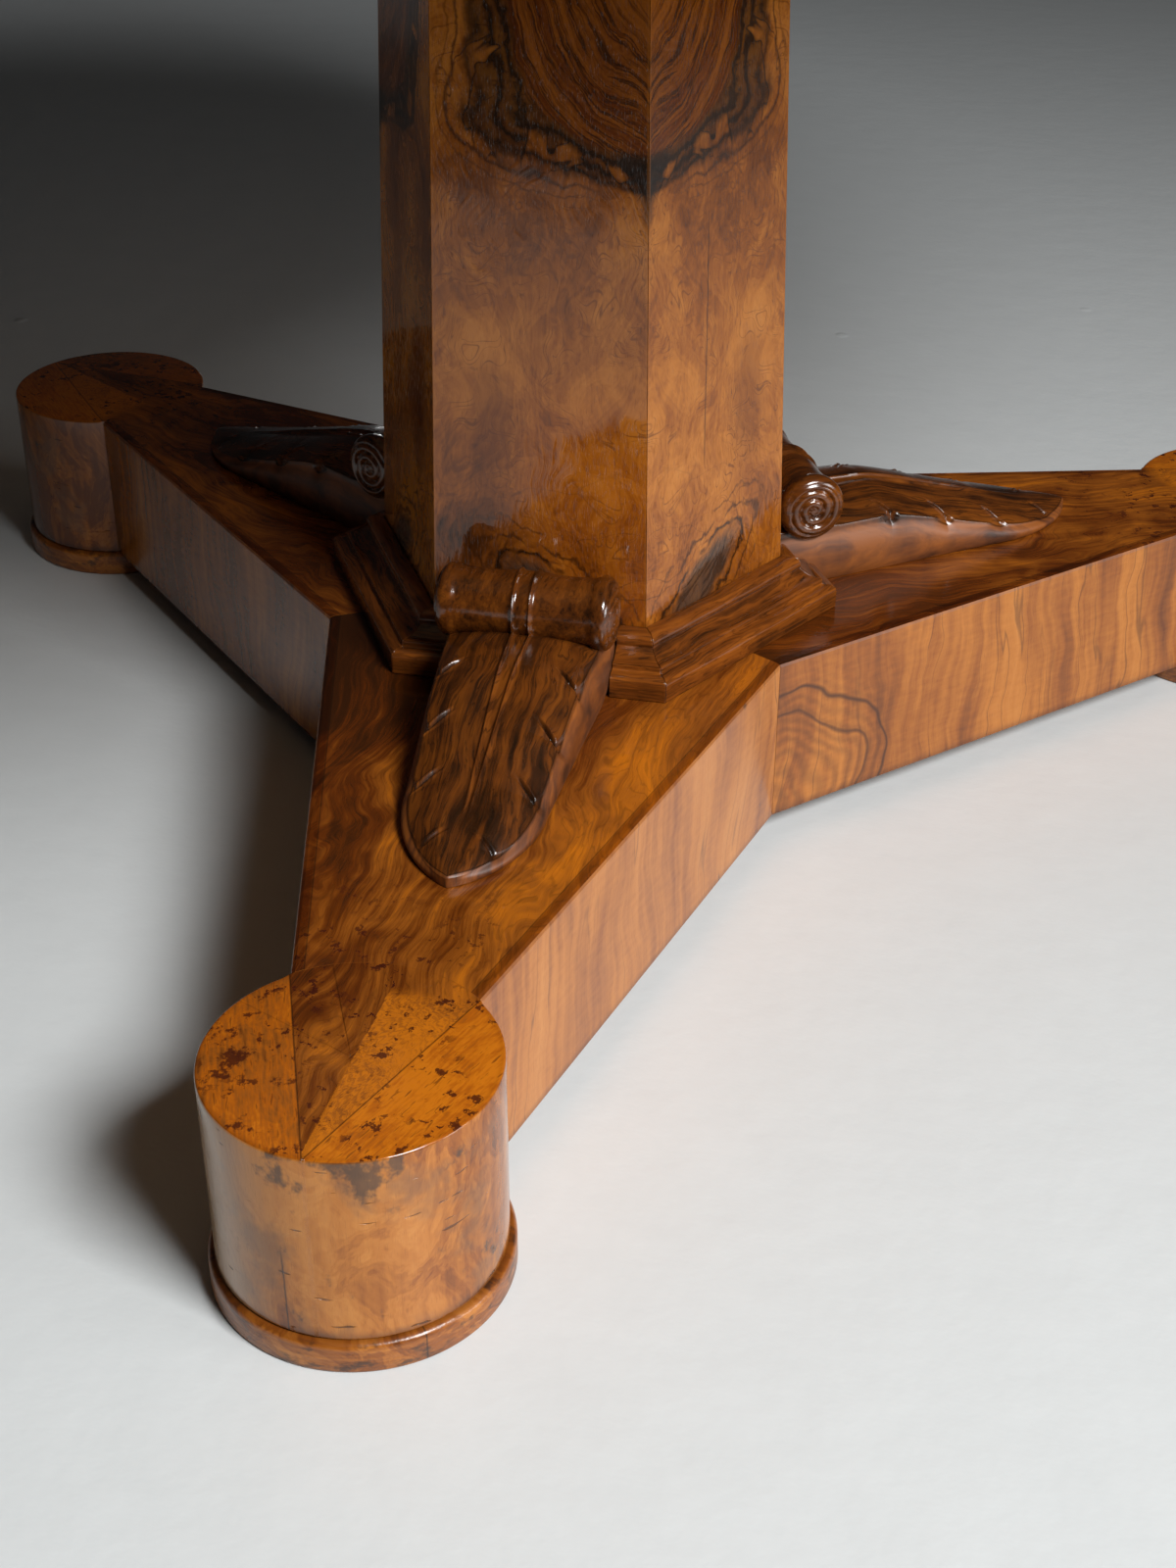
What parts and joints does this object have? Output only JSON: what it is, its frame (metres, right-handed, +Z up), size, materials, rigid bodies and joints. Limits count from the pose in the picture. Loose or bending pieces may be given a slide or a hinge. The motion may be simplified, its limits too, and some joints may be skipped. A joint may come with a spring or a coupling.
{
  "type": "centre table",
  "caption": "Round tilt-top pedestal centre table in walnut: tapered hexagonal column on a tripod platform with drum feet, carved scroll leaves and plinth moulding.",
  "frame": {"origin": "on the floor under the column's axis", "axes": "+Z up; -Y along the front arm; +X to the right seen from the front"},
  "size_m": [1.2, 1.2, 0.76],
  "materials": {
    "veneer": "figured walnut veneer, French polished",
    "carved": "dark carved walnut, French polished",
    "carcase": "plain planed pine",
    "iron": "forged black iron",
    "brass": "dull old brass"
  },
  "bodies": {
    "base": {"carved_leaf_front": "carved", "carved_leaf_left": "carved", "carved_leaf_right": "carved", "catch_strike": "brass", "column_cap": "veneer", "column_plug_lower": "carcase", "column_plug_upper": "carcase", "column_stave_back": "veneer", "column_stave_front": "veneer", "column_stave_front_left": "veneer", "column_stave_front_right": "veneer", "column_stave_left": "veneer", "column_stave_right": "veneer", "foot_dowel_front": "carcase", "foot_dowel_left": "carcase", "foot_dowel_right": "carcase", "foot_drum_front": "veneer", "foot_drum_left": "veneer", "foot_drum_right": "veneer", "foot_pad_front": "veneer", "foot_pad_left": "veneer", "foot_pad_right": "veneer", "hub_plate": "iron", "hub_screw_front": "iron", "hub_screw_left": "iron", "hub_screw_right": "iron", "moulding_return_front_a": "carved", "moulding_return_front_b": "carved", "moulding_return_left_a": "carved", "moulding_return_left_b": "carved", "moulding_return_right_a": "carved", "moulding_return_right_b": "carved", "pivot_block": "carcase", "pivot_pin_left": "iron", "pivot_pin_right": "iron", "platform_arm_front": "veneer", "platform_arm_left": "veneer", "platform_arm_right": "veneer", "plinth_moulding_back": "carved", "plinth_moulding_front_left": "carved", "plinth_moulding_front_right": "carved", "tie_rod": "iron", "tie_rod_nut_lower": "iron", "tie_rod_nut_upper": "iron"},
    "top": {"apron_segment_1": "veneer", "apron_segment_2": "veneer", "apron_segment_3": "veneer", "apron_segment_4": "veneer", "apron_segment_5": "veneer", "apron_segment_6": "veneer", "bearer_screw_left_back": "iron", "bearer_screw_left_front": "iron", "bearer_screw_right_back": "iron", "bearer_screw_right_front": "iron", "catch_case": "brass", "table_top": "veneer", "top_bearer_left": "carcase", "top_bearer_right": "carcase"},
    "bolt": {"catch_bolt": "brass"}
  },
  "joints": [
    {"name": "top_tilt", "type": "hinge", "parent": "base", "child": "top", "pos_m": [0, 0.13, 0.7117], "axis": [-1, 0, 0], "range_deg": [0, 90]},
    {"name": "catch_slide", "type": "slide", "parent": "top", "child": "bolt", "axis": [0, 1, 0], "range_m": [0, 0.018]}
  ]
}
